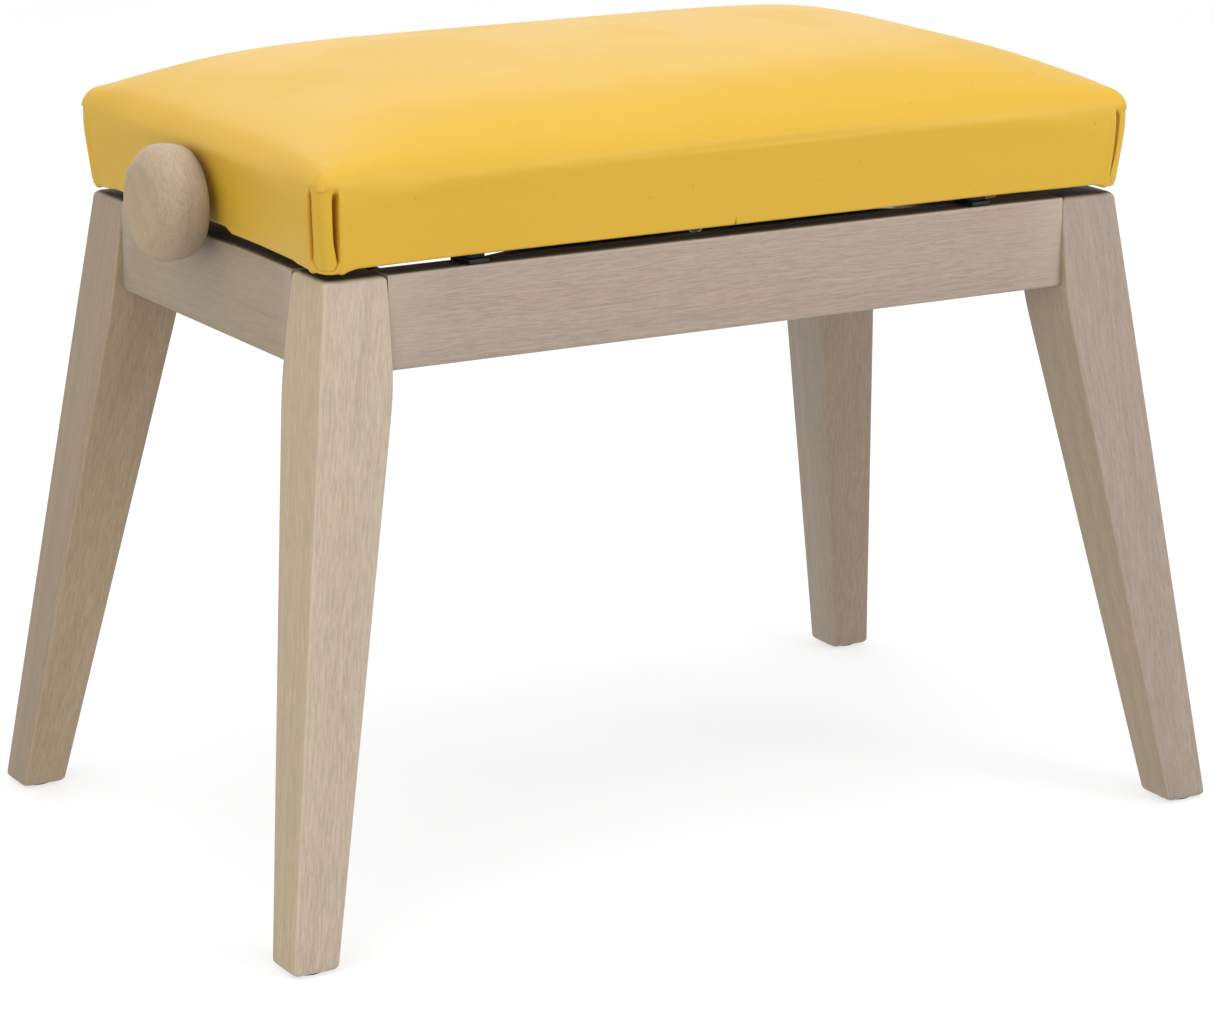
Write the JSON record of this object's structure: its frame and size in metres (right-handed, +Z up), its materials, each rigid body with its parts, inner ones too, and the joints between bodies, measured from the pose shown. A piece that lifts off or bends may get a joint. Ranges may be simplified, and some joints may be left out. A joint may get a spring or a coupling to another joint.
{
  "type": "piano bench",
  "caption": "Rectangular padded bench on four splayed wooden legs, raised and lowered by a hand screw and scissor arms.",
  "frame": {"origin": "On the floor under the middle of the bench, the bottom centre of its bounding box.", "axes": "X along the long side, from the left knob to the right knob; Y from front to back; Z up. At rest the seat is at its lowest height."},
  "size_m": [0.6506, 0.4186, 0.4869],
  "materials": {
    "limed_beech": "whitewashed beech, matt lacquer",
    "beech_block": "plain sawn beech",
    "plywood": "raw plywood",
    "yellow_vinyl": "smooth yellow artificial leather, satin",
    "foam": "cream upholstery foam",
    "black_steel": "black powder coat",
    "zinc_steel": "zinc-plated steel",
    "black_nylon": "black nylon",
    "black_rubber": "black rubber"
  },
  "bodies": {
    "base": {"leg_front_left": "limed_beech", "leg_front_right": "limed_beech", "leg_back_left": "limed_beech", "leg_back_right": "limed_beech", "rail_front": "limed_beech", "rail_back": "limed_beech", "rail_left": "limed_beech", "rail_right": "limed_beech", "corner_block_front_left": "beech_block", "corner_block_front_right": "beech_block", "corner_block_back_left": "beech_block", "corner_block_back_right": "beech_block", "glide_front_left": "black_nylon", "glide_front_right": "black_nylon", "glide_back_left": "black_nylon", "glide_back_right": "black_nylon", "lower_plate_front": "black_steel", "lower_plate_back": "black_steel", "lower_tie_left": "black_steel", "lower_tie_right": "black_steel", "bracket_front_left": "black_steel", "bracket_front_right": "black_steel", "bracket_back_left": "black_steel", "bracket_back_right": "black_steel", "bracket_screw_front_left": "zinc_steel", "bracket_screw_front_right": "zinc_steel", "bracket_screw_back_left": "zinc_steel", "bracket_screw_back_right": "zinc_steel", "seat_stop_front_left": "black_rubber", "seat_stop_front_right": "black_rubber", "seat_stop_back_left": "black_rubber", "seat_stop_back_right": "black_rubber"},
    "seat": {"seat_cover": "yellow_vinyl", "foam_pad": "foam", "seat_board": "plywood", "skirt_front": "plywood", "skirt_back": "plywood", "skirt_left": "plywood", "skirt_right": "plywood", "upper_plate_front": "black_steel", "upper_plate_back": "black_steel", "upper_tie_left": "black_steel", "upper_tie_right": "black_steel", "spindle_bush_left": "black_nylon", "spindle_bush_right": "black_nylon"},
    "outer_arms": {"outer_arm_front": "black_steel", "outer_arm_back": "black_steel", "lower_pivot_rod": "zinc_steel", "centre_pivot_rod": "zinc_steel"},
    "inner_arms": {"inner_arm_front": "black_steel", "inner_arm_back": "black_steel", "upper_pivot_pin_front": "zinc_steel", "upper_pivot_pin_back": "zinc_steel", "lower_slide_rod": "zinc_steel"},
    "nut": {"nut_bar": "zinc_steel"},
    "screw": {"spindle": "zinc_steel", "spindle_collar_left": "zinc_steel", "spindle_collar_right": "zinc_steel", "knob_left": "limed_beech", "knob_right": "limed_beech"}
  },
  "joints": [
    {"name": "seat_height", "type": "slide", "parent": "base", "child": "seat", "axis": [0, 0, 1], "range_m": [0, 0.1]},
    {"name": "outer_arms_fold", "type": "hinge", "parent": "base", "child": "outer_arms", "pos_m": [-0.195, 0, 0.369], "axis": [0, -1, 0], "range_deg": [0, 15.3]},
    {"name": "inner_arms_fold", "type": "hinge", "parent": "outer_arms", "child": "inner_arms", "pos_m": [-0.00119, 0, 0.3905], "axis": [0, -1, 0], "range_deg": [-30.6, 0]},
    {"name": "nut_tilt", "type": "hinge", "parent": "outer_arms", "child": "nut", "pos_m": [0.19262, 0, 0.412], "axis": [0, -1, 0], "range_deg": [-15.3, 0]},
    {"name": "screw_turn", "type": "hinge", "parent": "seat", "child": "screw", "pos_m": [0, 0, 0.412], "axis": [1, 0, 0], "range_deg": [0, 2240]}
  ],
  "couplings": [
    {"joint": "outer_arms_fold", "follows": "seat_height", "rad_per_m": 2.6494},
    {"joint": "inner_arms_fold", "follows": "seat_height", "rad_per_m": -5.2988},
    {"joint": "nut_tilt", "follows": "seat_height", "rad_per_m": -2.6494},
    {"joint": "screw_turn", "follows": "seat_height", "rad_per_m": 389.32}
  ]
}
